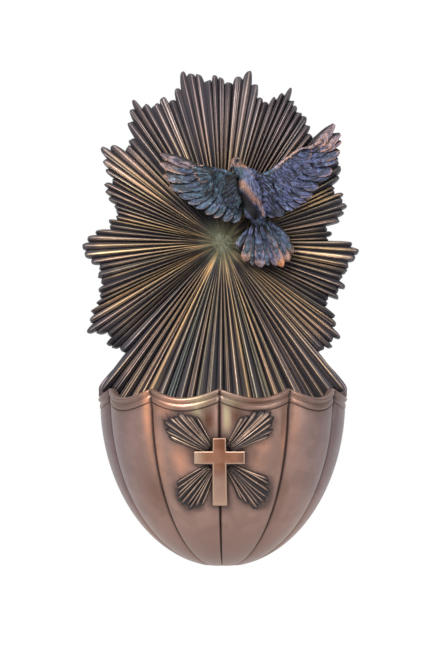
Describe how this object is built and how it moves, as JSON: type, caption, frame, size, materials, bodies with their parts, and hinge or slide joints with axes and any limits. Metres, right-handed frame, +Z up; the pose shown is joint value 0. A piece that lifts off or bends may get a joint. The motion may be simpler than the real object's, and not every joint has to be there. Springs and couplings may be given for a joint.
{
  "type": "holy water stoup",
  "caption": "Wall-hung holy water stoup: a lobed half-round bowl with a cross and sprays of rays on its front, under a sunburst back with a flying dove.",
  "frame": {"origin": "centre of the sunburst, on the wall plane that the back lies against", "axes": "+Z up, +Y into the wall, the front faces -Y, +X to the right as seen from the front"},
  "size_m": [0.1069, 0.0481, 0.1909],
  "materials": {
    "burst_bronze": "dark patinated bronze-filled resin with rubbed golden crests",
    "bowl_bronze": "satin rose-brown bronze-filled resin",
    "cross_bronze": "satin copper-rose bronze-filled resin",
    "spray_bronze": "dark bronze-filled resin with rubbed golden crests",
    "dove_bronze": "blue-violet patinated bronze-filled resin with rubbed copper edges",
    "steel": "plain zinc-plated steel"
  },
  "bodies": {
    "root": {"sunburst_plate": "burst_bronze", "bowl": "bowl_bronze", "cross": "cross_bronze", "ray_spray_upper_left": "spray_bronze", "ray_spray_upper_right": "spray_bronze", "ray_spray_lower_left": "spray_bronze", "ray_spray_lower_right": "spray_bronze", "dove_body": "dove_bronze", "dove_wing_left": "dove_bronze", "dove_wing_right": "dove_bronze", "dove_tail": "dove_bronze", "keyhole_hanger": "steel", "hanger_screw_left": "steel", "hanger_screw_right": "steel", "dove_dowel_upper": "steel", "dove_dowel_lower": "steel", "wing_dowel_left": "steel", "wing_dowel_right": "steel", "tail_dowel": "steel", "bowl_dowel_left": "steel", "bowl_dowel_right": "steel"}
  },
  "joints": []
}
